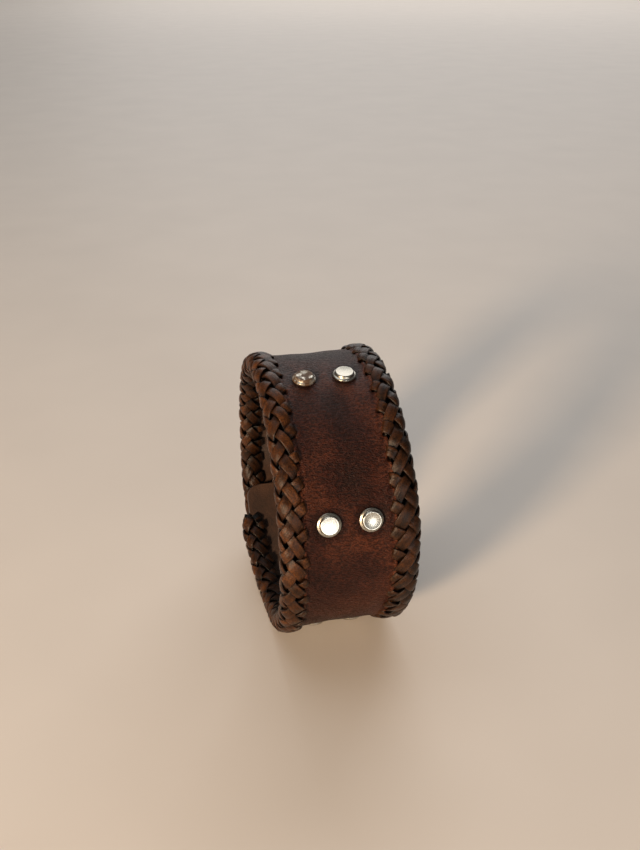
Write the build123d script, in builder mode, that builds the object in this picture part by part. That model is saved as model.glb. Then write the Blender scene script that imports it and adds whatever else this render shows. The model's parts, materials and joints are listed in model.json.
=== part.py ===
"""Leather cuff bracelet with laced edges, rivet pairs and a snap closure, in millimetres.

The cuff stands on its curved side. Its axis lies along X, its front faces -Y and +Z is up.
The origin is on the surface it stands on, under the middle of its outer box.
An angle round the cuff starts at the front and grows over the top to the back. Angles of the
lower half are negative, so the two layers at the closure have their own angles.
"""
from build123d import *
from math import cos, radians, sin
import os

os.makedirs("parts", exist_ok=True)

# ---- driving dimensions -------------------------------------------------------------------
strap_outer_radius = 37.0     # smooth side of the strap leather
leather_thickness = 3.0
strap_half_width = 14.5
lace_inner_x = 10.3           # where the laced edge starts, from the middle of the strap
lace_outer_x = 17.1           # outermost point of the laced edge
lace_outer_radius = 38.4
lace_inner_radius = 32.2
lace_corner_radius = 2.4
resting_flat_depth = 0.8      # how far the lacing is pressed flat where the cuff stands

tongue_tip_angle = -151.0     # the plain end of the lower half, inside at the closure
lace_start_angle = -135.0     # the lower half is laced from here on
tongue_corner_radius = 4.0
arm_hinge_angle = 165.0       # where the upper half bends when the cuff is opened
flap_hinge_angle = 206.0      # where the end bends when it is peeled off the snap
flap_end_angle = 224.0
lift_start_angle = 180.0      # from here the upper half rises over the tongue
lift_end_angle = 205.0
flap_lift = 5.05              # the flap's lacing clears the tongue by 0.25
lift_steps = 14               # points that the rising part is drawn through
joint_gap_angle = 0.15        # half the slit at each bending line

rivet_angles = {"top": 80.0, "front": 18.0, "bottom": -62.0}
rivet_half_spacing = 5.2
rivet_flange_radius = 3.0
rivet_flange_height = 0.5
rivet_top_radius = 2.45
rivet_height = 1.2
rivet_shank_radius = 1.25
rivet_base_thickness = 0.6
shank_hole_radius = 1.3

snap_angle = 216.5
snap_cap_radius = 4.2
snap_cap_height = 1.2
snap_cap_rounding = 0.8
stud_flange_radius = 3.2
stud_flange_height = 0.3
stud_dome_radius = 1.9
stud_dome_height = 1.1
stud_dome_rounding = 0.9
socket_radius = 3.4
socket_pocket_radius = 2.5
socket_pocket_depth = 1.2
socket_bottom_gap = 0.1       # air between the socket and the stud's flange

# ---- worked out ---------------------------------------------------------------------------
strap_inner_radius = strap_outer_radius - leather_thickness
flap_inner_radius = strap_inner_radius + flap_lift
flap_outer_radius = strap_outer_radius + flap_lift


def lift(angle):
    """How far the upper half stands outside the ring at an angle."""
    share = min(max((angle - lift_start_angle) / (lift_end_angle - lift_start_angle), 0), 1)
    return flap_lift * share * share * (3 - 2 * share)


back_angles = [180 + step / 20 for step in range(600)]
back_reach = max(-(lace_outer_radius + lift(a)) * cos(radians(a)) for a in back_angles)
centre_z = lace_outer_radius - resting_flat_depth
centre_y = -(back_reach - lace_outer_radius) / 2
cuff_axis = Axis((0, centre_y, centre_z), (-1, 0, 0))
lace_middle_x = (lace_inner_x + lace_outer_x) / 2
lace_middle_radius = (lace_inner_radius + lace_outer_radius) / 2
sides = {"left": -1, "right": 1}


def spot(angle, radius, x=0.0):
    """Point at an angle round the cuff and a distance from its axis."""
    a = radians(angle)
    return Vector(x, centre_y - radius * cos(a), centre_z + radius * sin(a))


def outward_plane(angle, radius, x=0.0):
    """Plane that touches a circle round the axis, facing away from the wrist."""
    a = radians(angle)
    return Plane(origin=spot(angle, radius, x), x_dir=(1, 0, 0), z_dir=(0, -cos(a), sin(a)))


def section_plane(angle):
    """Plane through the axis: its x runs along the axis and its y points outwards."""
    a = radians(angle)
    return Plane(origin=(0, centre_y, centre_z), x_dir=(1, 0, 0), z_dir=(0, -sin(a), -cos(a)))


def save(piece, name):
    """Label a finished piece and write it."""
    piece.part.label = name
    export_step(piece.part, f"parts/{name}.step")


# ---- path of the rising part --------------------------------------------------------------
arm_start = arm_hinge_angle + joint_gap_angle
arm_end = flap_hinge_angle - joint_gap_angle


def arm_path():
    """Middle line of the upper arm's leather, which rises smoothly over the tongue."""
    radius = (strap_inner_radius + strap_outer_radius) / 2
    angles = [arm_start + (arm_end - arm_start) * n / lift_steps for n in range(lift_steps + 1)]
    ends = [Vector(0, sin(radians(a)), cos(radians(a))) for a in (arm_start, arm_end)]
    return Spline([spot(a, radius + lift(a)) for a in angles], tangents=ends)


# ---- strap leather ------------------------------------------------------------------------
def punch(angle, radius, xs):
    """Punch a hole under each fastener of the part being built."""
    with Locations(*[outward_plane(angle, radius + 1, x) for x in xs]):
        Hole(shank_hole_radius, depth=leather_thickness + 2)


def round_end(band, angle):
    """Round the two corners of a band's end."""
    middle = strap_outer_radius - leather_thickness / 2
    corners = [band.edges().sort_by_distance(spot(angle, middle, s * strap_half_width))[0]
               for s in sides.values()]
    fillet(corners, radius=tongue_corner_radius)


def strap_section(start, lifted):
    """Cross-section of the strap leather at an angle."""
    with BuildSketch(section_plane(start)) as section:
        with Locations((0, (strap_inner_radius + strap_outer_radius) / 2 + lifted)):
            Rectangle(2 * strap_half_width, leather_thickness)
    return section.sketch


with BuildPart() as main_strap:
    add(strap_section(tongue_tip_angle, 0))
    revolve(axis=cuff_axis, revolution_arc=arm_hinge_angle - joint_gap_angle - tongue_tip_angle)
    round_end(main_strap, tongue_tip_angle)
    for angle in rivet_angles.values():
        punch(angle, strap_outer_radius, [-rivet_half_spacing, rivet_half_spacing])
    punch(snap_angle, strap_outer_radius, [0])
save(main_strap, "strap_main")

with BuildPart() as arm_strap:
    with BuildLine() as path:
        arm_path()
    add(strap_section(arm_start, 0))
    sweep(path=path.wire())
save(arm_strap, "strap_upper_arm")

with BuildPart() as flap_strap:
    add(strap_section(flap_hinge_angle + joint_gap_angle, flap_lift))
    revolve(axis=cuff_axis, revolution_arc=flap_end_angle - flap_hinge_angle - joint_gap_angle)
    punch(snap_angle, flap_outer_radius, [0])
save(flap_strap, "strap_flap")


# ---- laced edges --------------------------------------------------------------------------
def lace_section(side, start, lifted):
    """Cross-section of one laced edge: a rounded block with the strap cut out of it."""
    with BuildSketch(section_plane(start)) as section:
        with Locations((side * lace_middle_x, lace_middle_radius + lifted)):
            RectangleRounded(lace_outer_x - lace_inner_x, lace_outer_radius - lace_inner_radius,
                             lace_corner_radius)
        with Locations((0, (strap_inner_radius + strap_outer_radius) / 2 + lifted)):
            Rectangle(2 * strap_half_width, leather_thickness, mode=Mode.SUBTRACT)
    return section.sketch


for side_name, side in sides.items():
    with BuildPart() as main_lacing:
        add(lace_section(side, lace_start_angle, 0))
        revolve(axis=cuff_axis,
                revolution_arc=arm_hinge_angle - joint_gap_angle - lace_start_angle)
        split(bisect_by=Plane.XY, keep=Keep.TOP)
    save(main_lacing, f"lacing_{side_name}_main")

    with BuildPart() as arm_lacing:
        with BuildLine() as path:
            arm_path()
        add(lace_section(side, arm_start, 0))
        sweep(path=path.wire())
    save(arm_lacing, f"lacing_{side_name}_upper_arm")

    with BuildPart() as flap_lacing:
        add(lace_section(side, flap_hinge_angle + joint_gap_angle, flap_lift))
        revolve(axis=cuff_axis,
                revolution_arc=flap_end_angle - flap_hinge_angle - joint_gap_angle)
    save(flap_lacing, f"lacing_{side_name}_flap")


# ---- rivets -------------------------------------------------------------------------------
def rivet_cap(plane):
    """Outer half of a double-cap rivet: a flange and a raised flat top."""
    with BuildPart() as cap:
        with BuildSketch(plane):
            Circle(rivet_flange_radius)
        extrude(amount=rivet_flange_height)
        fillet(cap.edges().sort_by(Axis(plane.origin, plane.z_dir))[-1], radius=0.2)
        with BuildSketch(plane.offset(rivet_flange_height)):
            Circle(rivet_top_radius)
        extrude(amount=rivet_height - rivet_flange_height)
        chamfer(cap.edges().sort_by(Axis(plane.origin, plane.z_dir))[-1], length=0.3)
    return cap


def backed_shank(angle, x, base_radius):
    """Inner half of a rivet or stud: a disc inside the strap and a shank through it."""
    seat = (strap_inner_radius ** 2 - base_radius ** 2) ** 0.5   # the disc's rim meets the leather
    plane = outward_plane(angle, seat, x)
    with BuildPart() as post:
        with BuildSketch(plane):
            Circle(base_radius)
        extrude(amount=-rivet_base_thickness)
        fillet(post.edges().sort_by(Axis(plane.origin, plane.z_dir))[0], radius=0.25)
        with BuildSketch(plane):
            Circle(rivet_shank_radius)
        extrude(amount=strap_outer_radius - seat)
    return post


for row, angle in rivet_angles.items():
    for side_name, side in sides.items():
        x = side * rivet_half_spacing
        outer_cap = rivet_cap(outward_plane(angle, strap_outer_radius, x))
        save(outer_cap, f"rivet_cap_{row}_{side_name}")
        inner_post = backed_shank(angle, x, rivet_flange_radius)
        save(inner_post, f"rivet_post_{row}_{side_name}")


# ---- snap ---------------------------------------------------------------------------------
socket_base = strap_outer_radius + stud_flange_height + socket_bottom_gap
socket_seat = (flap_inner_radius ** 2 - socket_radius ** 2) ** 0.5   # its rim meets the leather

cap_plane = outward_plane(snap_angle, flap_outer_radius)
with BuildPart() as snap_cap:
    with BuildSketch(cap_plane):
        Circle(snap_cap_radius)
    extrude(amount=snap_cap_height)
    fillet(snap_cap.edges().sort_by(Axis(cap_plane.origin, cap_plane.z_dir))[-1],
           radius=snap_cap_rounding)
    with BuildSketch(cap_plane):
        Circle(rivet_shank_radius)
    extrude(amount=-(flap_outer_radius - socket_seat))
save(snap_cap, "snap_cap")

socket_plane = outward_plane(snap_angle, socket_base)
with BuildPart() as snap_socket:
    with BuildSketch(socket_plane):
        Circle(socket_radius)
    extrude(amount=socket_seat - socket_base)
    with BuildSketch(socket_plane):
        Circle(socket_pocket_radius)
    extrude(amount=socket_pocket_depth, mode=Mode.SUBTRACT)
save(snap_socket, "snap_socket")

stud_plane = outward_plane(snap_angle, strap_outer_radius)
with BuildPart() as snap_stud:
    with BuildSketch(stud_plane):
        Circle(stud_flange_radius)
    extrude(amount=stud_flange_height)
    with BuildSketch(stud_plane.offset(stud_flange_height)):
        Circle(stud_dome_radius)
    extrude(amount=stud_dome_height)
    fillet(snap_stud.edges().sort_by(Axis(stud_plane.origin, stud_plane.z_dir))[-1],
           radius=stud_dome_rounding)
save(snap_stud, "snap_stud")

save(backed_shank(snap_angle, 0, rivet_flange_radius), "snap_stud_post")
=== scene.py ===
"""Leather cuff bracelet with braided laced edges, rivet pairs and a snap closure.

Every piece is made around the CAD frame, in metres. The cuff's axis lies along X, its front
faces -Y and +Z is up. An angle round the cuff starts at the front and grows over the top; the
lower half has negative angles, so the two layers at the closure keep apart.
"""
from __future__ import annotations

import json
import logging
import math
import random
from dataclasses import dataclass
from enum import Enum

import bpy
import numpy as np
from mathutils import Matrix, Vector

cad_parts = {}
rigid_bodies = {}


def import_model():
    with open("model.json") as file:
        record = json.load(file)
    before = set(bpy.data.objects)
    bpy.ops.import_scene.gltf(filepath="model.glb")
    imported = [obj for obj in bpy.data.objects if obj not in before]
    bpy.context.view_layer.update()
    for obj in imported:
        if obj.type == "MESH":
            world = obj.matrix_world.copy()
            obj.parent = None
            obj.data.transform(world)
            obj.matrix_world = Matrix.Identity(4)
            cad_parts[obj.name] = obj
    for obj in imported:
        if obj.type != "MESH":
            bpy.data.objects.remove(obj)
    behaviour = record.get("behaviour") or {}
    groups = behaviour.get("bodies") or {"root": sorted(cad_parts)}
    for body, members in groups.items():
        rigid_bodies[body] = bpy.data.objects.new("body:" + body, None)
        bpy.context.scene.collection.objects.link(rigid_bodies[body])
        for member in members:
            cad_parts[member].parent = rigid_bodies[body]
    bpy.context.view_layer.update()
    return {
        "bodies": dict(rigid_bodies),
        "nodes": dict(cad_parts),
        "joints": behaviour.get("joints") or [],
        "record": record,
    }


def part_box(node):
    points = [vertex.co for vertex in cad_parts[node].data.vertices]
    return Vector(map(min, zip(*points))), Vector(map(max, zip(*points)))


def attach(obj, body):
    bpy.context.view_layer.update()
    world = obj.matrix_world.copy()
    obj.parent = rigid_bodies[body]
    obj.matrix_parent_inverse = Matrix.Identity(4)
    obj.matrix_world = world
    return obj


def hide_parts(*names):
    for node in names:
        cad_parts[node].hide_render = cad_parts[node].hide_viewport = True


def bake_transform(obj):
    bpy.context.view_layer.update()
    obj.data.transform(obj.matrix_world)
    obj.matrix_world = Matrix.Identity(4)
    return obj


MM = 0.001
LEATHER = 3.0 * MM                    # thickness of the strap leather
FLAP_LIFT = 5.05 * MM                 # how far the flap lies outside the ring
RIVET_ROWS = {"top": 80.0, "front": 18.0, "bottom": -62.0}
RIVET_X = 5.2 * MM                    # half the distance between the rivets of a pair
log = logging.getLogger("cuff")


class Body(Enum):
    """The bodies that move on their own."""

    CUFF = "cuff_body"
    ARM = "upper_arm"
    FLAP = "closure_flap"


class Side(Enum):
    """The two edges of the cuff, by the sign of X."""

    LEFT = -1
    RIGHT = 1


# ---- small helpers ------------------------------------------------------------------------
def linear(code: str) -> tuple[float, float, float, float]:
    """Turn an sRGB hex colour into linear RGBA.

    Args:
        code: six hex digits, such as "5A2D22".

    Returns:
        The linear colour with alpha 1.
    """
    parts = [int(code[i:i + 2], 16) / 255 for i in (0, 2, 4)]
    return (*[c / 12.92 if c <= 0.04045 else ((c + 0.055) / 1.055) ** 2.4 for c in parts], 1.0)


def smoothstep(x: np.ndarray | float) -> np.ndarray:
    """Ease from 0 to 1 as x goes from 0 to 1."""
    t = np.clip(x, 0.0, 1.0)
    return t * t * (3 - 2 * t)


def smooth_through(values: list[float], s: np.ndarray) -> np.ndarray:
    """Smooth curve through values given at 0, 1, 2 and so on.

    Args:
        values: the value at each whole step.
        s: where to read the curve, in steps.

    Returns:
        The value of the curve at each s.
    """
    v = np.array(values, float)
    slope = np.gradient(v)
    i = np.clip(np.floor(s).astype(int), 0, len(v) - 2)
    t = s - i
    a, b, da, db = v[i], v[i + 1], slope[i], slope[i + 1]
    return (a * (2 * t ** 3 - 3 * t ** 2 + 1) + da * (t ** 3 - 2 * t ** 2 + t)
            + b * (3 * t ** 2 - 2 * t ** 3) + db * (t ** 3 - t ** 2))


def deselect() -> None:
    """Leave edit mode and select nothing."""
    if bpy.context.object and bpy.context.object.mode != "OBJECT":
        bpy.ops.object.mode_set(mode="OBJECT")
    bpy.ops.object.select_all(action="DESELECT")


def activate(piece: bpy.types.Object) -> None:
    """Select one piece alone and make it active."""
    deselect()
    piece.select_set(True)
    bpy.context.view_layer.objects.active = piece


def apply_modifier(piece: bpy.types.Object, kind: str, **settings: object) -> None:
    """Add a modifier with its settings and apply it at once."""
    activate(piece)
    modifier = piece.modifiers.new(kind.title(), kind)
    for name, value in settings.items():
        setattr(modifier, name, value)
    bpy.ops.object.modifier_apply(modifier=modifier.name)


def point_out(piece: bpy.types.Object) -> None:
    """Make every face of a closed piece point outwards."""
    activate(piece)
    bpy.ops.object.mode_set(mode="EDIT")
    bpy.ops.mesh.select_all(action="SELECT")
    bpy.ops.mesh.normals_make_consistent(inside=False)
    bpy.ops.object.mode_set(mode="OBJECT")


def smooth(piece: bpy.types.Object, angle: float = 40.0) -> None:
    """Shade a piece smooth, with creases at edges sharper than the angle in degrees."""
    activate(piece)
    bpy.ops.object.shade_smooth_by_angle(angle=math.radians(angle))


def read_points(piece: bpy.types.Object) -> np.ndarray:
    """The piece's vertex positions as an array."""
    co = np.zeros(len(piece.data.vertices) * 3)
    piece.data.vertices.foreach_get("co", co)
    return co.reshape(-1, 3)


def write_points(piece: bpy.types.Object, points: np.ndarray) -> None:
    """Move the piece's vertices to these positions."""
    piece.data.vertices.foreach_set("co", points.astype(np.float32).ravel())
    piece.data.update()


def write_attribute(piece: bpy.types.Object, name: str, values: np.ndarray) -> None:
    """Store one number per vertex for the piece's material to read."""
    attribute = piece.data.attributes.new(name, "FLOAT", "POINT")
    attribute.data.foreach_set("value", np.asarray(values, np.float32))


# ---- the ring that all leather follows ----------------------------------------------------
@dataclass(frozen=True)
class Ring:
    """The circle that the strap follows, in metres, and how its upper end rises over the tongue."""

    centre_y: float
    centre_z: float
    strap_outer: float
    strap_inner: float
    lift_start: float = 180.0
    lift_end: float = 205.0
    drift: float = -2.2 * MM          # the lower half leans to one side, as worn leather does
    drift_start: float = -75.0
    drift_span: float = 60.0

    @classmethod
    def from_frame(cls, frame: dict) -> Ring:
        """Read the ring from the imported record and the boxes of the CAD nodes.


        Returns:
            The ring.
        """
        opening = next(m for m in frame["record"]["mounts"] if m["name"] == "wrist_opening")
        _, y, z = opening["pos_m"]
        low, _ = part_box("strap_main")
        outer = z - low.z
        return cls(y, z, outer, outer - LEATHER)

    def lift(self, angle: np.ndarray) -> np.ndarray:
        """How far the upper half stands outside the circle."""
        return FLAP_LIFT * smoothstep((np.asarray(angle) - self.lift_start)
                                      / (self.lift_end - self.lift_start))

    def place(self, x: np.ndarray, angle: np.ndarray, radius: np.ndarray) -> np.ndarray:
        """Points at a place along the axis, an angle in degrees and a radius."""
        a = np.radians(angle)
        r = radius + self.lift(angle)
        past = (self.drift_start - np.asarray(angle)) / self.drift_span
        leaning = x + self.drift * smoothstep(past)
        return np.stack([np.broadcast_to(leaning, a.shape), self.centre_y - r * np.cos(a),
                         self.centre_z + r * np.sin(a)], axis=-1)

    def spot(self, angle: float, radius: float, x: float = 0.0) -> Vector:
        """One such point as a vector."""
        return Vector(self.place(np.array([x]), np.array([angle]), np.array([radius]))[0])

    def outward(self, angle: float) -> Matrix:
        """Rotation that turns +Z to point away from the wrist at that angle."""
        a = math.radians(angle)
        out = Vector((0, -math.cos(a), math.sin(a)))
        along = Vector((1, 0, 0))
        return Matrix((along, out.cross(along), out)).transposed().to_4x4()


# ---- finishes -----------------------------------------------------------------------------
def add_node(tree: bpy.types.NodeTree, kind: str, settings: dict | None = None,
             links: dict | None = None) -> bpy.types.Node:
    """Add one node with its settings and its incoming links.

    Args:
        tree: the material's node tree.
        kind: the node's type, such as "ShaderNodeTexNoise".
        settings: socket names or numbers, or node properties, with their values.
            "stops" gives a colour ramp its (place, colour) pairs.
        links: socket names or numbers, each with (source node, output).

    Returns:
        The new node.
    """
    node = tree.nodes.new(kind)
    for name, value in (settings or {}).items():
        if name == "stops":
            ramp = node.color_ramp
            while len(ramp.elements) < len(value):
                ramp.elements.new(0.5)
            for element, (place, colour) in zip(ramp.elements, value):
                element.position, element.color = place, colour
        elif isinstance(name, int) or name in node.inputs:
            node.inputs[name].default_value = value
        else:
            setattr(node, name, value)
    for name, (source, output) in (links or {}).items():
        tree.links.new(source.outputs[output], node.inputs[name])
    return node


def start_material(name: str) -> tuple[bpy.types.Material, bpy.types.NodeTree, bpy.types.Node]:
    """New material with no nodes but its coordinates in millimetres."""
    material = bpy.data.materials.new(name)
    material.use_nodes = True
    tree = material.node_tree
    tree.nodes.clear()
    coords = add_node(tree, "ShaderNodeTexCoord")
    scaled = add_node(tree, "ShaderNodeMapping", {"Scale": (1 / MM, 1 / MM, 1 / MM)},
                      {"Vector": (coords, "Object")})
    return material, tree, scaled


def finish_material(tree: bpy.types.NodeTree, shader: bpy.types.Node) -> None:
    """Join a shader to the material's output."""
    add_node(tree, "ShaderNodeOutputMaterial", links={"Surface": (shader, 0)})


@dataclass(frozen=True)
class StrapLeather:
    """Full-grain cow leather, vegetable tanned, dyed mahogany, waxed and hand burnished.

    The wax gives a soft broad sheen, the grain shows as short creases across the strap, and
    burnishing leaves darker clouds along the middle. Painted shade darkens a ring round each
    rivet cap and the leather where it tucks under the lace, and a painted highlight lightens
    the raised lip beside the lace.
    """

    light: str = "452314"
    middle: str = "2A120A"
    dark: str = "160804"
    crease_along_mm: float = 0.9      # creases run across the strap
    crease_spacing_mm: float = 0.4
    cloud_mm: float = 15.0
    speck_mm: float = 0.33

    def build(self) -> bpy.types.Material:
        """Make the material."""
        material, tree, mm = start_material("strap_full_grain_leather")
        stretched = add_node(tree, "ShaderNodeMapping",
                             {"Scale": (1 / self.crease_along_mm, 1 / self.crease_spacing_mm,
                                        1 / self.crease_spacing_mm)}, {"Vector": (mm, 0)})
        creases = add_node(tree, "ShaderNodeTexNoise",
                           {"Scale": 1.0, "Detail": 2.0, "Roughness": 0.5, "Distortion": 0.4},
                           {"Vector": (stretched, 0)})
        pores = add_node(tree, "ShaderNodeTexVoronoi", {"feature": "DISTANCE_TO_EDGE",
                         "Scale": 1.3, "Randomness": 1.0}, {"Vector": (stretched, 0)})
        cloud = add_node(tree, "ShaderNodeTexNoise", {"Scale": 1 / self.cloud_mm, "Detail": 1.5,
                         "Roughness": 0.5}, {"Vector": (mm, 0)})
        # burnished clouds, plus painted shade round the rivet caps and under the lace's edge, and a
        # painted highlight on the lip
        patina = add_node(tree, "ShaderNodeAttribute", {"attribute_name": "patina"})
        shade = add_node(tree, "ShaderNodeMath", {"operation": "MULTIPLY_ADD", 1: -0.45},
                         {0: (patina, "Fac"), 2: (cloud, "Fac")})
        base = add_node(tree, "ShaderNodeValToRGB",
                        {"stops": [(0.0, linear(self.dark)), (0.42, linear(self.middle)),
                                   (0.72, linear(self.light))]}, {"Fac": (shade, 0)})
        crease_tone = add_node(tree, "ShaderNodeMapRange", {"From Min": 0.4, "From Max": 0.6,
                               "To Min": 0.5, "To Max": 1.5}, {"Value": (creases, "Fac")})
        specks = add_node(tree, "ShaderNodeTexNoise", {"Scale": 1 / self.speck_mm,
                          "Detail": 2.0}, {"Vector": (mm, 0)})
        speck_tone = add_node(tree, "ShaderNodeMapRange", {"From Min": 0.3, "From Max": 0.7,
                              "To Min": 0.7, "To Max": 1.3}, {"Value": (specks, "Fac")})
        toned = add_node(tree, "ShaderNodeMath", {"operation": "MULTIPLY"},
                         {0: (crease_tone, 0), 1: (speck_tone, 0)})
        colour = add_node(tree, "ShaderNodeMix", {"data_type": "RGBA", "blend_type": "MULTIPLY",
                          0: 1.0}, {6: (base, 0), 7: (toned, 0)})
        relief = add_node(tree, "ShaderNodeMath", {"operation": "MULTIPLY_ADD", 1: 0.5},
                          {0: (pores, "Distance"), 2: (creases, "Fac")})
        bump = add_node(tree, "ShaderNodeBump", {"Strength": 1.0, "Distance": 0.4 * MM},
                        {"Height": (relief, 0)})
        gloss = add_node(tree, "ShaderNodeMapRange", {"From Min": 0.3, "From Max": 0.7,
                         "To Min": 0.52, "To Max": 0.36}, {"Value": (creases, "Fac")})
        shader = add_node(tree, "ShaderNodeBsdfPrincipled",
                          {"Specular IOR Level": 0.13},
                          {"Base Color": (colour, 2), "Roughness": (gloss, 0),
                           "Normal": (bump, 0)})
        finish_material(tree, shader)
        return material


@dataclass(frozen=True)
class SuedeInside:
    """The flesh side of the same hide: napped, matt and lighter brown, with a loose fibre.
    Both colours are darkened as painted shade for the inside of the ring.
    """

    # painted shade: both colours are darker than the suede itself, for the shade inside the ring
    light: str = "442D1F"
    dark: str = "20140E"
    nap_mm: float = 1.1

    def build(self) -> bpy.types.Material:
        """Make the material."""
        material, tree, mm = start_material("strap_flesh_side_suede")
        nap = add_node(tree, "ShaderNodeTexNoise", {"Scale": 1 / self.nap_mm, "Detail": 5.0,
                       "Roughness": 0.75}, {"Vector": (mm, 0)})
        wear = add_node(tree, "ShaderNodeTexNoise", {"Scale": 0.11, "Detail": 2.0},
                        {"Vector": (mm, 0)})
        mixed = add_node(tree, "ShaderNodeMath", {"operation": "MULTIPLY_ADD", 1: 0.5},
                         {0: (nap, "Fac"), 2: (wear, "Fac")})
        colour = add_node(tree, "ShaderNodeValToRGB",
                          {"stops": [(0.5, linear(self.dark)), (1.0, linear(self.light))]},
                          {"Fac": (mixed, 0)})
        bump = add_node(tree, "ShaderNodeBump", {"Strength": 1.0, "Distance": 0.4 * MM},
                        {"Height": (nap, "Fac")})
        shader = add_node(tree, "ShaderNodeBsdfPrincipled",
                          {"Roughness": 0.92, "Sheen Weight": 0.25, "Sheen Roughness": 0.5,
                           "Specular IOR Level": 0.25},
                          {"Base Color": (colour, 0), "Normal": (bump, 0)})
        finish_material(tree, shader)
        return material


@dataclass(frozen=True)
class CutEdge:
    """The cut edge of the strap, dyed and rubbed: dark, tight fibre with a dull polish."""

    light: str = "3F251A"
    dark: str = "1E110C"

    def build(self) -> bpy.types.Material:
        """Make the material."""
        material, tree, mm = start_material("strap_burnished_edge")
        fibre = add_node(tree, "ShaderNodeTexNoise", {"Scale": 2.2, "Detail": 4.0},
                         {"Vector": (mm, 0)})
        colour = add_node(tree, "ShaderNodeValToRGB",
                          {"stops": [(0.35, linear(self.dark)), (0.65, linear(self.light))]},
                          {"Fac": (fibre, "Fac")})
        bump = add_node(tree, "ShaderNodeBump", {"Strength": 0.5, "Distance": 0.15 * MM},
                        {"Height": (fibre, "Fac")})
        shader = add_node(tree, "ShaderNodeBsdfPrincipled", {"Roughness": 0.55},
                          {"Base Color": (colour, 0), "Normal": (bump, 0)})
        finish_material(tree, shader)
        return material


@dataclass(frozen=True)
class LaceLeather:
    """Flat calf lace, brown, waxed and handled: semi-gloss tops, pale rubbed edges.

    Each lace takes its own tone from the attribute "tone"; on the right edge that tone is
    lowered as painted shade. Painted shade darkens a lace where it dips under the next one and
    along its sides; on the edge's inner side the darkening is painted shade and skin oils
    together. One vertex attribute carries all of it.
    """

    worn: str = "573317"
    middle: str = "311B0B"
    deep: str = "190E06"
    crevice: str = "040201"
    streak_along_mm: float = 2.4
    streak_across_mm: float = 0.5
    speck_mm: float = 0.3

    def build(self) -> bpy.types.Material:
        """Make the material."""
        material, tree, mm = start_material("flat_calf_lace")
        uv = add_node(tree, "ShaderNodeUVMap", {"uv_map": "lace"})
        along = add_node(tree, "ShaderNodeMapping",
                         {"Scale": (1 / self.streak_along_mm, 1 / self.streak_across_mm, 1.0)},
                         {"Vector": (uv, 0)})
        streaks = add_node(tree, "ShaderNodeTexNoise", {"Scale": 1.0, "Detail": 4.0,
                           "Roughness": 0.6}, {"Vector": (along, 0)})
        blotch = add_node(tree, "ShaderNodeTexNoise", {"Scale": 0.35, "Detail": 3.0},
                          {"Vector": (mm, 0)})
        grain = add_node(tree, "ShaderNodeTexNoise", {"Scale": 2.6, "Detail": 4.0,
                         "Roughness": 0.65}, {"Vector": (mm, 0)})
        specks = add_node(tree, "ShaderNodeTexNoise", {"Scale": 1 / self.speck_mm,
                          "Detail": 2.0}, {"Vector": (mm, 0)})
        speck_tone = add_node(tree, "ShaderNodeMapRange", {"From Min": 0.38, "From Max": 0.62,
                              "To Min": 0.5, "To Max": 1.5}, {"Value": (specks, "Fac")})
        tone = add_node(tree, "ShaderNodeAttribute", {"attribute_name": "tone"})
        crevice = add_node(tree, "ShaderNodeAttribute", {"attribute_name": "crevice"})
        rubbed = add_node(tree, "ShaderNodeAttribute", {"attribute_name": "rubbed"})
        first = add_node(tree, "ShaderNodeMath", {"operation": "MULTIPLY_ADD", 1: 0.45},
                         {0: (streaks, "Fac"), 2: (tone, "Fac")})
        second = add_node(tree, "ShaderNodeMath", {"operation": "MULTIPLY_ADD", 1: 0.9},
                          {0: (blotch, "Fac"), 2: (first, 0)})
        base = add_node(tree, "ShaderNodeValToRGB",
                        {"stops": [(0.42, linear(self.deep)), (0.68, linear(self.middle)),
                                   (1.0, linear(self.worn))]}, {"Fac": (second, 0)})
        edge = add_node(tree, "ShaderNodeMath", {"operation": "MULTIPLY", 1: 0.22},
                        {0: (rubbed, "Fac")})
        paler = add_node(tree, "ShaderNodeMix", {"data_type": "RGBA", 7: linear(self.worn)},
                         {0: (edge, 0), 6: (base, 0)})
        grained = add_node(tree, "ShaderNodeMix", {"data_type": "RGBA", "blend_type": "MULTIPLY",
                           0: 1.0}, {6: (paler, 2), 7: (speck_tone, 0)})
        # painted shade: mix towards near-black where laces dip, along their sides and on the inner side
        colour = add_node(tree, "ShaderNodeMix", {"data_type": "RGBA", 7: linear(self.crevice)},
                          {0: (crevice, "Fac"), 6: (grained, 2)})
        relief = add_node(tree, "ShaderNodeMath", {"operation": "MULTIPLY_ADD", 1: 0.6},
                          {0: (grain, "Fac"), 2: (streaks, "Fac")})
        bump = add_node(tree, "ShaderNodeBump", {"Strength": 0.7, "Distance": 0.2 * MM},
                        {"Height": (relief, 0)})
        gloss = add_node(tree, "ShaderNodeMapRange", {"From Min": 0.35, "From Max": 0.65,
                         "To Min": 0.46, "To Max": 0.26}, {"Value": (grain, "Fac")})
        shader = add_node(tree, "ShaderNodeBsdfPrincipled",
                          {"Specular IOR Level": 0.18},
                          {"Base Color": (colour, 2), "Roughness": (gloss, 0),
                           "Normal": (bump, 0)})
        finish_material(tree, shader)
        return material


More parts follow.
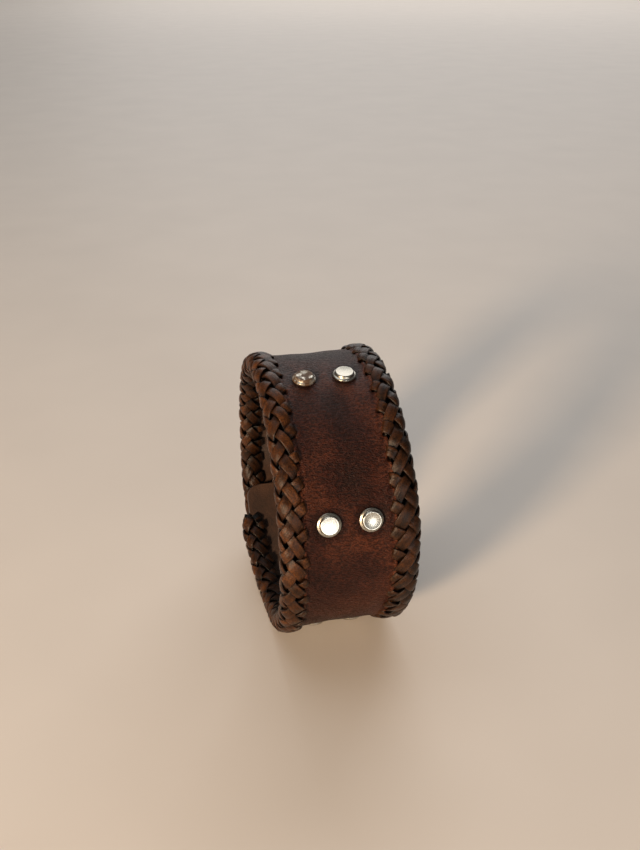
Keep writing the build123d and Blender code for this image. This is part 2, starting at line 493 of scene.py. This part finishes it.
@dataclass(frozen=True)
class NickelPlate:
    """Nickel-plated brass, pressed: warm white metal with fine scuffs and rubbed spots.

    A worn piece shows brown brass corrosion through the plate.
    """

    plate: str = "B4B1A6"
    tarnish: str = "4A3521"
    worn: float = 0.0                 # share of the surface that has gone brown

    def build(self) -> bpy.types.Material:
        """Make the material."""
        material, tree, mm = start_material("worn_nickel" if self.worn else "nickel_plate")
        spots = add_node(tree, "ShaderNodeTexNoise", {"Scale": 0.75, "Detail": 5.0,
                         "Roughness": 0.65}, {"Vector": (mm, 0)})
        scuffs = add_node(tree, "ShaderNodeTexNoise", {"Scale": 3.5, "Detail": 5.0,
                          "Roughness": 0.7, "Distortion": 1.2}, {"Vector": (mm, 0)})
        edge = 0.78 - 0.33 * self.worn
        mask = add_node(tree, "ShaderNodeMapRange", {"From Min": edge - 0.06,
                        "From Max": edge + 0.08}, {"Value": (spots, "Fac")})
        colour = add_node(tree, "ShaderNodeMix", {"data_type": "RGBA", 6: linear(self.plate),
                          7: linear(self.tarnish)}, {0: (mask, 0)})
        shine = add_node(tree, "ShaderNodeMath", {"operation": "SUBTRACT", 0: 1.0},
                         {1: (mask, 0)})
        gloss = add_node(tree, "ShaderNodeMapRange", {"From Min": 0.3, "From Max": 0.75,
                         "To Min": 0.2, "To Max": 0.42}, {"Value": (scuffs, "Fac")})
        dulled = add_node(tree, "ShaderNodeMath", {"operation": "MULTIPLY_ADD", 1: 0.35},
                          {0: (mask, 0), 2: (gloss, 0)})
        bump = add_node(tree, "ShaderNodeBump", {"Strength": 0.25, "Distance": 0.05 * MM},
                        {"Height": (scuffs, "Fac")})
        shader = add_node(tree, "ShaderNodeBsdfPrincipled", {},
                          {"Base Color": (colour, 2), "Metallic": (shine, 0),
                           "Roughness": (dulled, 0), "Normal": (bump, 0)})
        finish_material(tree, shader)
        return material


@dataclass(frozen=True)
class StudioFloor:
    """Pale painted board, matt, with a faint unevenness."""

    paint: str = "D6CFC6"

    def build(self) -> bpy.types.Material:
        """Make the material."""
        material, tree, mm = start_material("pale_painted_board")
        cloud = add_node(tree, "ShaderNodeTexNoise", {"Scale": 0.02, "Detail": 2.0},
                         {"Vector": (mm, 0)})
        tone = add_node(tree, "ShaderNodeMapRange", {"To Min": 0.95, "To Max": 1.05},
                        {"Value": (cloud, "Fac")})
        colour = add_node(tree, "ShaderNodeMix", {"data_type": "RGBA", "blend_type": "MULTIPLY",
                          0: 1.0, 6: linear(self.paint)}, {7: (tone, 0)})
        shader = add_node(tree, "ShaderNodeBsdfPrincipled", {"Roughness": 0.6},
                          {"Base Color": (colour, 2)})
        finish_material(tree, shader)
        return material


# ---- laced edges --------------------------------------------------------------------------
@dataclass(frozen=True)
class LaceRun:
    """One direction of the weave: where it lies at each crossing, and which crossings it tops.

    Places round the cuff are in pitches, and places round the edge are shares of its length.
    """

    steps: tuple[float, ...]
    tops_even: bool


@dataclass(frozen=True)
class EdgeHand:
    """What differs on one edge: the hand of the maker, and on the right a darker lace tone that is
    painted shade.
    """

    half_x: float                     # half width of the braid's outline, in millimetres
    offset: float                     # where the braid starts, in pitches
    tone: float                       # how light its laces are
    fullness: float                   # how much fuller it is laced at the front


# The right edge's tone of -0.2 darkens its laces as painted shade.
EDGE_HANDS = {Side.LEFT: EdgeHand(3.1, 0.3, 0.0, 0.0), Side.RIGHT: EdgeHand(2.9, 0.0, -0.2, 0.27)}


@dataclass
class LacedEdge:
    """Flat lace braided round one edge of the strap. Sizes are in millimetres."""

    ring: Ring
    side: Side
    lace_width: float = 2.62
    lace_thickness: float = 0.8
    weave_height: float = 0.42        # how far a lace rides above or below the middle
    crown: float = 0.03               # how far a lace's sides curve down
    braid_start: float = -135.0
    braid_end: float = 223.9
    pitch: float = 9.829              # degrees from one lace to the next
    arm_limit: float = 151.5          # laces that reach past this follow the upper arm
    flap_limit: float = 200.5         # laces that reach past this follow the flap
    middle_x: float = 13.5
    middle_radius: float = 35.3
    half_radius: float = 2.4
    squareness: float = 2.5
    open_angle: float = 143.0         # where the lace meets the strap's faces
    crossings: tuple[float, ...] = (-0.07, 0.045, 0.2, 0.35, 0.5, 0.65, 0.8, 0.955, 1.07)
    rising: LaceRun = LaceRun((-0.2, 0.0, 0.66, 1.16, 1.66, 2.16, 2.66, 3.32, 3.52), True)
    falling: LaceRun = LaceRun((0.1, 0.0, -0.34, -0.84, -1.34, -1.84, -2.34, -2.68, -2.78), False)
    end_dive: float = 1.5             # how deep a lace goes down into its hole
    cut_dive: float = 1.1             # how deep a cut end is pressed
    uneven_pitch: float = 0.045       # spreads of the hand-made unevenness
    uneven_lift: float = 0.06
    uneven_place: float = 0.13
    uneven_width: float = 0.065
    uneven_tone: float = 0.07
    lowest: float = 0.03 * MM         # pressed flat where the cuff stands
    segments: int = 52
    section_points: int = 16
    seed: int = 7

    def __post_init__(self) -> None:
        """Work out the pitch and the outline that the lace follows round the edge."""
        self.hand = EDGE_HANDS[self.side]
        self.pitches = (self.braid_end - self.braid_start) / self.pitch
        turn = np.radians(np.linspace(self.open_angle, -self.open_angle, 400))
        power = 2 / self.squareness
        x = self.middle_x + self.hand.half_x * np.sign(np.cos(turn)) * np.abs(np.cos(turn)) ** power
        r = (self.middle_radius
             + self.half_radius * np.sign(np.sin(turn)) * np.abs(np.sin(turn)) ** power)
        length = np.concatenate([[0], np.cumsum(np.hypot(np.diff(x), np.diff(r)))])
        self.length = length[-1]
        even = np.linspace(0, self.length, 300)
        x, r = np.interp(even, length, x), np.interp(even, length, r)
        run = 3.0                     # straight lead-in past both ends, in millimetres
        first = np.array([x[0] - x[3], r[0] - r[3]]) / (even[3] - even[0])
        last = np.array([x[-1] - x[-4], r[-1] - r[-4]]) / (even[-1] - even[-4])
        self.outline_v = np.concatenate([[-run], even, [self.length + run]])
        self.outline_x = np.concatenate([[x[0] + run * first[0]], x, [x[-1] + run * last[0]]])
        self.outline_r = np.concatenate([[r[0] + run * first[1]], r, [r[-1] + run * last[1]]])

    def outline(self, v: np.ndarray) -> tuple[np.ndarray, ...]:
        """Outline point and outward direction at a distance round the edge.

        Args:
            v: distance round the edge from the strap's smooth face, in millimetres.

        Returns:
            The point's x and radius, and the direction's x and radius.
        """
        x = np.interp(v, self.outline_v, self.outline_x)
        r = np.interp(v, self.outline_v, self.outline_r)
        reach = 0.35
        dx = (np.interp(v + reach, self.outline_v, self.outline_x)
              - np.interp(v - reach, self.outline_v, self.outline_x))
        dr = (np.interp(v + reach, self.outline_v, self.outline_r)
              - np.interp(v - reach, self.outline_v, self.outline_r))
        size = np.hypot(dx, dr)
        return x, r, -dr / size, dx / size

    def straight_lace(self) -> bpy.types.Object:
        """Model one straight lace: a rounded flat section drawn out in even steps.

        Returns:
            A lace one unit long on X, with its width on Y and thickness on Z in millimetres.
        """
        deselect()
        bpy.ops.mesh.primitive_circle_add(vertices=self.section_points, radius=1.0,
                                          rotation=(0, math.pi / 2, 0))
        lace = bpy.context.object
        bpy.ops.object.transform_apply(location=True, rotation=True, scale=True)
        ring = read_points(lace)
        turn = np.arctan2(ring[:, 2], ring[:, 1])
        ring[:, 0] = 0.0
        ring[:, 1] = (self.lace_width / 2 * np.sign(np.cos(turn))
                      * np.abs(np.cos(turn)) ** 0.3)
        ring[:, 2] = (self.lace_thickness / 2 * np.sign(np.sin(turn))
                      * np.abs(np.sin(turn)) ** 0.34)
        write_points(lace, ring)
        bpy.ops.object.mode_set(mode="EDIT")
        bpy.ops.mesh.select_all(action="SELECT")
        for _ in range(self.segments):
            bpy.ops.mesh.extrude_region_move(
                TRANSFORM_OT_translate={"value": (1 / self.segments, 0, 0)})
        bpy.ops.mesh.select_all(action="SELECT")
        bpy.ops.mesh.region_to_loop()
        bpy.ops.mesh.edge_face_add()
        bpy.ops.object.mode_set(mode="OBJECT")
        lace.data.uv_layers.new(name="lace")
        return lace

    def wrap(self, lace: bpy.types.Object, run: LaceRun, shift: float, first: float,
             last: float, dice: random.Random) -> None:
        """Bend a straight lace along its run round the edge.

        Args:
            lace: a copy of the straight lace, bent in place.
            run: the direction of the weave it follows.
            shift: which pitch it starts from.
            first: where on the run it starts, in crossings.
            last: where on the run it ends, in crossings.
            dice: the seeded random source for hand-made unevenness.
        """
        flat = read_points(lace)
        s = first + (last - first) * flat[:, 0]
        uneven = [dice.gauss(0, self.uneven_pitch) for _ in run.steps]
        lift = [dice.gauss(0, self.uneven_lift) for _ in run.steps]
        wander = [dice.gauss(0, self.uneven_place) for _ in run.steps]
        steps = [step + off for step, off in zip(run.steps, uneven)]
        places = [self.length * share + off for share, off in zip(self.crossings, wander)]
        u, v = smooth_through(steps, s) + shift, smooth_through(places, s)
        ahead, behind = np.minimum(s + 0.05, 8.0), np.maximum(s - 0.05, 0.0)
        _, radius, _, _ = self.outline(v)
        per_pitch = math.radians(self.pitch) * radius
        du = (smooth_through(steps, ahead) - smooth_through(steps, behind)) * per_pitch
        dv = smooth_through(places, ahead) - smooth_through(places, behind)
        size = np.hypot(du, dv)
        width = flat[:, 1] * (1 + dice.gauss(0, self.uneven_width))
        u_side, v_side = u - width * dv / size / per_pitch, v + width * du / size
        wave = np.cos(np.pi * s) * (1 if run.tops_even else -1)
        height = self.weave_height * np.sign(wave) * np.abs(wave) ** 0.6
        height += smooth_through(lift, s)
        dive = smoothstep((0.8 - s) / 0.8) + smoothstep((s - 7.2) / 0.8)
        cut = ((smoothstep(1 - (s - first) / 0.4) if first > 0 else 0)
               + (smoothstep(1 - (last - s) / 0.4) if last < 8 else 0))
        height -= self.end_dive * dive + self.cut_dive * cut
        across = flat[:, 1] / (self.lace_width / 2)   # from -1 at one side of a lace to 1
        height += flat[:, 2] - self.crown * across ** 2
        x, r, nx, nr = self.outline(v_side)
        angle = self.braid_start + self.pitch * u_side
        fuller = 1.0 + self.hand.fullness * smoothstep((55 - angle) / 50)
        x = self.middle_x + (x - self.middle_x) * fuller
        placed = self.ring.place((x + nx * height) * MM * self.side.value, angle,
                                 (r + nr * height) * MM)
        placed[:, 2] = np.maximum(placed[:, 2], self.lowest)
        write_points(lace, placed)
        top = self.weave_height + self.lace_thickness / 2
        # painted shade: a lace darkens the deeper it lies below the top of the weave
        depth = np.clip((top - 0.2 - height) / (0.95 * top), 0, 1)
        # darker towards the inner side: partly skin oils, partly painted shade inside the ring
        oil_and_painted_shade = 0.6 * smoothstep((v_side / self.length - 0.52) / 0.25)
        # painted shade: dark outlines along each lace's sides
        rim_painted_shade = 0.55 * smoothstep((np.abs(across) - 0.8) / 0.18)
        write_attribute(lace, "crevice", np.clip(depth ** 0.9 + oil_and_painted_shade + rim_painted_shade, 0, 1))
        write_attribute(lace, "rubbed", smoothstep((np.abs(across) - 0.5) / 0.2))
        write_attribute(lace, "tone", np.full(len(s), dice.gauss(self.hand.tone, self.uneven_tone)))
        loops = np.zeros(len(lace.data.loops), np.int32)
        lace.data.loops.foreach_get("vertex_index", loops)
        along = (s * self.length / 8 * 1.5 + shift * 3.7)
        uv = np.stack([along[loops], flat[loops, 1]], axis=-1)
        lace.data.uv_layers["lace"].data.foreach_set("uv", uv.astype(np.float32).ravel())

    def laces(self) -> dict[Body, list[bpy.types.Object]]:
        """Copy and bend every lace of the edge.

        Returns:
            The laces by the body that they follow.
        """
        dice = random.Random(self.seed + self.side.value)
        straight = self.straight_lace()
        groups: dict[Body, list[bpy.types.Object]] = {body: [] for body in Body}
        reach = np.linspace(0, 8, 161)
        for run in (self.rising, self.falling):
            travel = smooth_through(list(run.steps), reach)
            for count in np.arange(-4, int(self.pitches) + 5) + self.hand.offset:
                inside = (travel + count > 0.0) & (travel + count < self.pitches)
                if inside.sum() < 14:
                    continue
                first, last = float(reach[inside][0]), float(reach[inside][-1])
                lace = straight.copy()
                lace.data = straight.data.copy()
                bpy.context.scene.collection.objects.link(lace)
                self.wrap(lace, run, count, first, last, dice)
                angles = self.braid_start + self.pitch * (travel + count)[inside]
                if angles.max() > self.flap_limit:
                    groups[Body.FLAP].append(lace)
                elif angles.max() > self.arm_limit:
                    groups[Body.ARM].append(lace)
                else:
                    groups[Body.CUFF].append(lace)
        bpy.data.objects.remove(straight)
        return groups

    def join(self, laces: list[bpy.types.Object], name: str,
             material: bpy.types.Material) -> bpy.types.Object:
        """Join bent laces into one piece and dress it."""
        deselect()
        for lace in laces:
            lace.select_set(True)
        bpy.context.view_layer.objects.active = laces[0]
        bpy.ops.object.join()
        piece = bpy.context.object
        piece.name = name
        point_out(piece)
        smooth(piece, 55)
        piece.data.materials.clear()
        piece.data.materials.append(material)
        return piece

    def build(self, material: bpy.types.Material) -> None:
        """Make the three parts of the edge, bind the main part to the cuff and report them."""
        word = self.side.name.lower()
        groups = self.laces()
        main = self.join(groups[Body.CUFF], f"laced_edge_{word}", material)
        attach(main, Body.CUFF.value)
        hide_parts(f"lacing_{word}_main")
        arm = self.join(groups[Body.ARM], f"laced_edge_{word}_upper", material)
        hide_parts(f"lacing_{word}_upper_arm")
        Strap.bend_at_arm(arm, self.ring)
        flap = self.join(groups[Body.FLAP], f"laced_edge_{word}_flap", material)
        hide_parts(f"lacing_{word}_flap")
        Strap.bend_at_flap(flap, self.ring)
        for piece in (main, arm, flap):
            report(piece)


# ---- strap --------------------------------------------------------------------------------
@dataclass
class Strap:
    """The strap leather: smooth outside, suede inside, puckered where the lace bites."""

    ring: Ring
    left_edge: LacedEdge
    right_edge: LacedEdge
    outside: bpy.types.Material
    inside: bpy.types.Material
    rim: bpy.types.Material
    laced_half_width: float = 15.2 * MM   # hidden under the lace
    tongue_half_width: float = 14.5 * MM
    tongue_corner: float = 4.0 * MM
    tongue_tip: float = -151.0
    arm_start: float = 151.0
    flap_start: float = 199.0
    flap_end: float = 223.9
    lip_height: float = 0.6           # heights of the smooth face's relief, in millimetres
    hole_depth: float = 1.5
    tuck_depth: float = 1.2
    shoulder_height: float = 0.16
    wave_height: float = 0.07
    dent_depth: float = 0.3
    # burnished clouds: angle, millimetres from the middle, reach in both, depth
    clouds: tuple[tuple[float, ...], ...] = (
        (66, 0.5, 7, 3.2, 0.65), (52, 1.6, 9, 3.8, 0.8), (36, 1.4, 9, 4.2, 0.8),
        (2, 4.5, 9, 4.0, 0.25), (-20, 5.0, 12, 5.0, 0.3), (110, 0.0, 12, 4.0, 0.3),
        (140, 1.0, 14, 4.5, 0.35), (-45, 0.0, 10, 6.0, 0.3))
    degrees_per_row: float = 0.8
    columns: int = 80

    @staticmethod
    def bend_at_arm(piece: bpy.types.Object, ring: Ring) -> None:
        """Bake a piece's transform into its mesh."""
        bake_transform(piece)

    @staticmethod
    def bend_at_flap(piece: bpy.types.Object, ring: Ring) -> None:
        """Bake a piece's transform into its mesh."""
        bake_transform(piece)

    def half_width(self, angle: np.ndarray) -> np.ndarray:
        """Half width of the leather: wider and round-cornered on the tongue."""
        past_lace = self.left_edge.braid_start - angle
        half = self.laced_half_width + (self.tongue_half_width - self.laced_half_width) * (
            smoothstep(past_lace / 1.2))
        from_tip = np.radians(angle - self.tongue_tip) * self.ring.strap_outer
        short = np.clip(self.tongue_corner - from_tip, 0, self.tongue_corner)
        return half - (self.tongue_corner - np.sqrt(self.tongue_corner ** 2 - short ** 2))

    def lace_phase(self, x: np.ndarray, angle: np.ndarray) -> np.ndarray:
        """How far between two lace holes a place is, from 0 at a hole to 1 at the next."""
        offset = np.where(x < 0, self.left_edge.hand.offset, self.right_edge.hand.offset)
        start = self.left_edge.braid_start
        return ((angle - start) / self.left_edge.pitch + 0.22 - offset) % 1.0

    def scallop(self, x: np.ndarray, angle: np.ndarray) -> np.ndarray:
        """Where the leather turns down under the lace, in millimetres from the middle."""
        phase = self.lace_phase(x, angle)
        pucker = smoothstep((phase - 0.12) / 0.3) * smoothstep((1.02 - phase) / 0.22)
        return 10.75 + 0.65 * pucker

    def relief(self, x: np.ndarray, angle: np.ndarray) -> np.ndarray:
        """How far the smooth face stands out from its circle, in metres."""
        phase, across = self.lace_phase(x, angle), np.abs(x) / MM
        edge = self.scallop(x, angle)
        lip = self.lip_height * np.exp(-((across - edge) / 0.45) ** 2)
        hole = -self.hole_depth * np.exp(-((across - 11.0) / 0.5) ** 2) * np.exp(
            -(((phase + 0.5) % 1.0 - 0.52) / 0.12) ** 2)
        tucked = -self.tuck_depth * smoothstep((across - edge - 0.45) / 0.6)
        shoulder = self.shoulder_height * np.exp(-((across - 9.8) / 1.3) ** 2)
        waves = self.wave_height * (np.sin(np.radians(angle) * 9 + x / MM * 0.35)
                                    + np.sin(np.radians(angle) * 5 - x / MM * 0.6 + 1.3))
        dents = sum(-self.dent_depth * np.exp(-(self.from_rivet(x, angle, place, s) / 3.9) ** 4)
                    for place in RIVET_ROWS.values() for s in (-1, 1))
        laced = smoothstep((angle - self.left_edge.braid_start + 1.0) / 1.5)
        return ((lip + hole + tucked + shoulder) * laced + waves + dents) * MM

    def from_rivet(self, x: np.ndarray, angle: np.ndarray, place: float,
                   sign: int) -> np.ndarray:
        """Distance along the leather from one rivet, in millimetres."""
        along = np.radians(angle - place) * self.ring.strap_outer / MM
        return np.hypot(x / MM - sign * RIVET_X / MM, along)

    def patina(self, x: np.ndarray, angle: np.ndarray) -> np.ndarray:
        """How dark the leather is painted, from 0 to 1: burnished clouds, painted shade round each
        rivet cap and under the lace's edge, and a painted highlight on the raised lip.
        """
        across = x / MM
        dark = sum(depth * np.exp(-((angle - a) / wa) ** 2 - ((across - c) / wc) ** 2)
                   for a, c, wa, wc, depth in self.clouds)
        # painted shade: a dark ring just outside each rivet cap
        painted_rivet_shade = sum(0.75 * np.exp(-((self.from_rivet(x, angle, place, s) - 3.1) / 1.1) ** 2)
                   for place in RIVET_ROWS.values() for s in (-1, 1))
        # painted shade where the leather tucks under the lace, and a painted highlight on the raised
        # lip
        past_edge = np.abs(across) - self.scallop(x, angle)
        edges = (0.9 * smoothstep((past_edge - 0.4) / 0.4)
                 - 0.8 * np.exp(-(past_edge / 0.35) ** 2))
        return np.clip(dark + painted_rivet_shade + edges, -0.8, 1.2)

    def band(self, name: str, start: float, end: float) -> bpy.types.Object:
        """Model a curved band of leather from a flat grid.

        Args:
            name: the piece's name.
            start: angle where the band starts.
            end: angle where the band ends.

        Returns:
            The closed band, with its three finishes.
        """
        rows = max(8, int(abs(end - start) / self.degrees_per_row))
        deselect()
        bpy.ops.mesh.primitive_grid_add(x_subdivisions=self.columns, y_subdivisions=rows, size=2)
        piece = bpy.context.object
        piece.name = name
        flat = read_points(piece)
        share = flat[:, 0]
        spread = share * 1.42 - 0.42 * share ** 3     # rows lie closer near the lace
        angle = start + (end - start) * (flat[:, 1] + 1) / 2
        x = spread * self.half_width(angle)
        write_points(piece, self.ring.place(x, angle, np.full(len(x), self.ring.strap_outer)))
        middle = piece.data.polygons[len(piece.data.polygons) // 2]
        outwards = Vector((0, middle.center.y - self.ring.centre_y,
                           middle.center.z - self.ring.centre_z))
        if middle.normal.dot(outwards) < 0:
            activate(piece)
            bpy.ops.object.mode_set(mode="EDIT")
            bpy.ops.mesh.select_all(action="SELECT")
            bpy.ops.mesh.flip_normals()
            bpy.ops.object.mode_set(mode="OBJECT")
        for material in (self.outside, self.inside, self.rim):
            piece.data.materials.append(material)
        write_attribute(piece, "across", x)
        write_attribute(piece, "angle", angle)
        apply_modifier(piece, "SOLIDIFY", thickness=LEATHER, offset=-1.0,
                       use_even_offset=True, material_offset=1, material_offset_rim=2)
        self.dress(piece)
        return piece

    def dress(self, piece: bpy.types.Object) -> None:
        """Give a band its relief, and its burnished clouds with painted shade and highlight."""
        count = len(piece.data.vertices)
        x, angle = np.zeros(count, np.float32), np.zeros(count, np.float32)
        piece.data.attributes["across"].data.foreach_get("value", x)
        piece.data.attributes["angle"].data.foreach_get("value", angle)
        outer = np.zeros(count)
        outer[:count // 2] = 1.0      # solidify keeps the first half on the smooth face
        points = read_points(piece)
        away = points - np.array([0, self.ring.centre_y, self.ring.centre_z])
        away[:, 0] = 0.0
        away /= np.linalg.norm(away, axis=1)[:, None]
        points += away * (self.relief(x, angle) * outer)[:, None]
        write_points(piece, points)
        write_attribute(piece, "patina", self.patina(x, angle))
        smooth(piece, 50)

    def build(self) -> None:
        """Make the three parts of the strap and bind the main part to the cuff."""
        main = self.band("strap", self.tongue_tip, self.arm_start)
        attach(main, Body.CUFF.value)
        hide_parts("strap_main")
        arm = self.band("strap_upper", self.arm_start, self.flap_start)
        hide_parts("strap_upper_arm")
        self.bend_at_arm(arm, self.ring)
        flap = self.band("strap_flap_end", self.flap_start, self.flap_end)
        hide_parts("strap_flap")
        self.bend_at_flap(flap, self.ring)
        for piece in (main, arm, flap):
            report(piece)


# ---- metal ----------------------------------------------------------------------------------
def turned(name: str, profile: list[tuple[float, float]], place: Matrix, round_off: float,
           material: bpy.types.Material, sides: int = 56) -> bpy.types.Object:
    """Turn a profile into a closed round piece, drawn up ring by ring from a circle.

    Args:
        name: the piece's name.
        profile: (radius, height) of each ring in millimetres, from the bottom up.
        place: where the piece's base sits and how it is turned.
        round_off: bevel width on its edges, in millimetres.
        material: the finish.
        sides: how many sides each ring has.

    Returns:
        The piece, with its place in its mesh.
    """
    deselect()
    radius, height = profile[0]
    bpy.ops.mesh.primitive_circle_add(vertices=sides, radius=radius * MM, fill_type="NGON",
                                      location=(0, 0, height * MM))
    piece = bpy.context.object
    piece.name = name
    bpy.ops.object.transform_apply(location=True, rotation=True, scale=True)
    bpy.ops.object.mode_set(mode="EDIT")
    bpy.ops.mesh.select_all(action="SELECT")
    for (before, low), (after, high) in zip(profile, profile[1:]):
        bpy.ops.mesh.extrude_region_move(
            TRANSFORM_OT_translate={"value": (0, 0, (high - low) * MM)})
        size = after / before
        bpy.ops.transform.resize(value=(size, size, 1), center_override=(0, 0, high * MM))
    bpy.ops.object.mode_set(mode="OBJECT")
    point_out(piece)
    apply_modifier(piece, "BEVEL", width=round_off * MM, segments=2, limit_method="ANGLE",
                   angle_limit=math.radians(25))
    piece.data.transform(place)
    piece.data.materials.append(material)
    smooth(piece, 35)
    return piece


@dataclass
class Hardware:
    """The rivets and snaps. Profiles are (radius, height) in millimetres."""

    ring: Ring
    nickel: bpy.types.Material
    worn_nickel: bpy.types.Material
    cap_profile: tuple[tuple[float, float], ...] = (
        (2.9, -0.25), (3.0, 0.1), (3.0, 0.28), (2.78, 0.42), (2.5, 0.5), (2.42, 0.95),
        (2.2, 1.2), (2.02, 1.17), (0.2, 1.13))
    dished_profile: tuple[tuple[float, float], ...] = (
        (2.9, -0.25), (3.0, 0.1), (3.0, 0.28), (2.78, 0.42), (2.5, 0.5), (2.42, 0.98),
        (2.24, 1.22), (2.0, 1.18), (1.35, 0.98), (0.2, 0.94))
    snap_profile: tuple[tuple[float, float], ...] = (
        (4.0, -0.3), (4.2, 0.0), (4.2, 0.3), (3.9, 0.7), (3.1, 1.02), (1.8, 1.17), (0.2, 1.2))
    snap_angle: float = 216.5

    def build(self) -> None:
        """Make every rivet cap and snap cap, and hide the CAD nodes they replace."""
        for row, angle in RIVET_ROWS.items():
            for side in Side:
                word = side.name.lower()
                worn = row == "top" and side is Side.LEFT
                dished = row == "front" and side is Side.RIGHT
                self.cap(f"rivet_cap_{row}_{word}", angle, side.value * RIVET_X,
                         self.dished_profile if dished else self.cap_profile,
                         self.worn_nickel if worn else self.nickel, Body.CUFF)
        self.cap("snap_cap", self.snap_angle, 0.0, self.snap_profile, self.nickel, Body.FLAP)

    def cap(self, node: str, angle: float, x: float,
            profile: tuple[tuple[float, float], ...], material: bpy.types.Material, body: Body) -> None:
        """Make one cap where its CAD node is, and bind it."""
        place = (Matrix.Translation(self.ring.spot(angle, self.ring.strap_outer, x))
                 @ self.ring.outward(angle))
        piece = turned(f"{node}_turned", list(profile), place, 0.07, material)
        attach(piece, body.value)
        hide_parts(node)
        report(piece)


# ---- studio ---------------------------------------------------------------------------------
@dataclass
class Studio:
    """Floor, lights and camera."""

    ring: Ring
    azimuth: float = -12.35
    elevation: float = 28.6
    distance: float = 235.3 * MM
    lens: float = 37.06
    aim_x: float = 0.3 * MM
    aim_up: float = 19.1 * MM

    def floor(self) -> None:
        """Lay a wide pale floor under the cuff."""
        deselect()
        bpy.ops.mesh.primitive_plane_add(size=14.0, location=(0, 0, 0))
        floor = bpy.context.object
        floor.name = "studio_floor"
        floor.data.materials.append(StudioFloor().build())

    def area_light(self, name: str, place: tuple[float, float, float], size: float,
                   power: float, colour: str) -> None:
        """Add one soft light that faces the cuff."""
        light = bpy.data.lights.new(name, "AREA")
        light.size, light.energy, light.color = size, power, linear(colour)[:3]
        lamp = bpy.data.objects.new(name, light)
        bpy.context.scene.collection.objects.link(lamp)
        lamp.location = place
        target = Vector((0, self.ring.centre_y, self.ring.centre_z))
        lamp.rotation_euler = (target - Vector(place)).to_track_quat("-Z", "Y").to_euler()

    def build(self) -> None:
        """Make the whole studio: a warm lamp at the left, a small window in front, soft fill."""
        self.floor()
        self.area_light("warm_key", (-0.62, -0.62, 0.24), 0.14, 12.5, "FFDDB8")
        self.area_light("front_window", (0.16, -0.82, 0.13), 0.24, 1.7, "F6F4F2")
        self.area_light("back_wall", (1.15, 3.3, 2.05), 3.3, 96.0, "E8E4E2")
        self.area_light("high_fill", (-0.4, 0.3, 1.7), 1.2, 6.5, "F1F2F4")
        world = bpy.data.worlds.new("soft_room")
        world.use_nodes = True
        world.node_tree.nodes["Background"].inputs["Color"].default_value = linear("DAD8D6")
        world.node_tree.nodes["Background"].inputs["Strength"].default_value = 0.14
        bpy.context.scene.world = world
        a, e = math.radians(self.azimuth), math.radians(self.elevation)
        back = Vector((math.sin(a) * math.cos(e), -math.cos(a) * math.cos(e), math.sin(e)))
        target = Vector((self.aim_x, self.ring.centre_y, self.ring.centre_z + self.aim_up))
        camera = bpy.data.objects.new("camera", bpy.data.cameras.new("camera"))
        bpy.context.scene.collection.objects.link(camera)
        camera.data.lens = self.lens
        camera.data.clip_start = 0.01
        camera.location = target + back * self.distance
        camera.rotation_euler = (-back).to_track_quat("-Z", "Y").to_euler()
        bpy.context.scene.camera = camera
        bpy.context.scene.view_settings.view_transform = "Standard"


def report(piece: bpy.types.Object) -> None:
    """Log one finished piece and its size."""
    log.info("%s: %d faces, %.1f x %.1f x %.1f mm", piece.name, len(piece.data.polygons),
             *(side / MM for side in piece.dimensions))


def dress_cad(frame: dict, nickel: bpy.types.Material) -> None:
    """Give the CAD nodes that stay a real nickel finish."""
    for name, node in frame["nodes"].items():
        if name.startswith(("rivet_post", "snap_")):
            node.data.materials.clear()
            node.data.materials.append(nickel)


def main() -> None:
    """Build the cuff around the frame and report each piece."""
    logging.basicConfig(level=logging.INFO, format="%(name)s %(message)s")
    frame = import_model()
    ring = Ring.from_frame(frame)
    Studio(ring).build()
    nickel, worn = NickelPlate().build(), NickelPlate(worn=1.0).build()
    dress_cad(frame, nickel)
    lace = LaceLeather().build()
    edges = [LacedEdge(ring, side) for side in Side]
    for edge in edges:
        edge.build(lace)
    strap = Strap(ring, *edges, StrapLeather().build(), SuedeInside().build(),
                  CutEdge().build())
    strap.build()
    Hardware(ring, nickel, worn).build()
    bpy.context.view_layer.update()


if __name__ == "__main__":
    main()
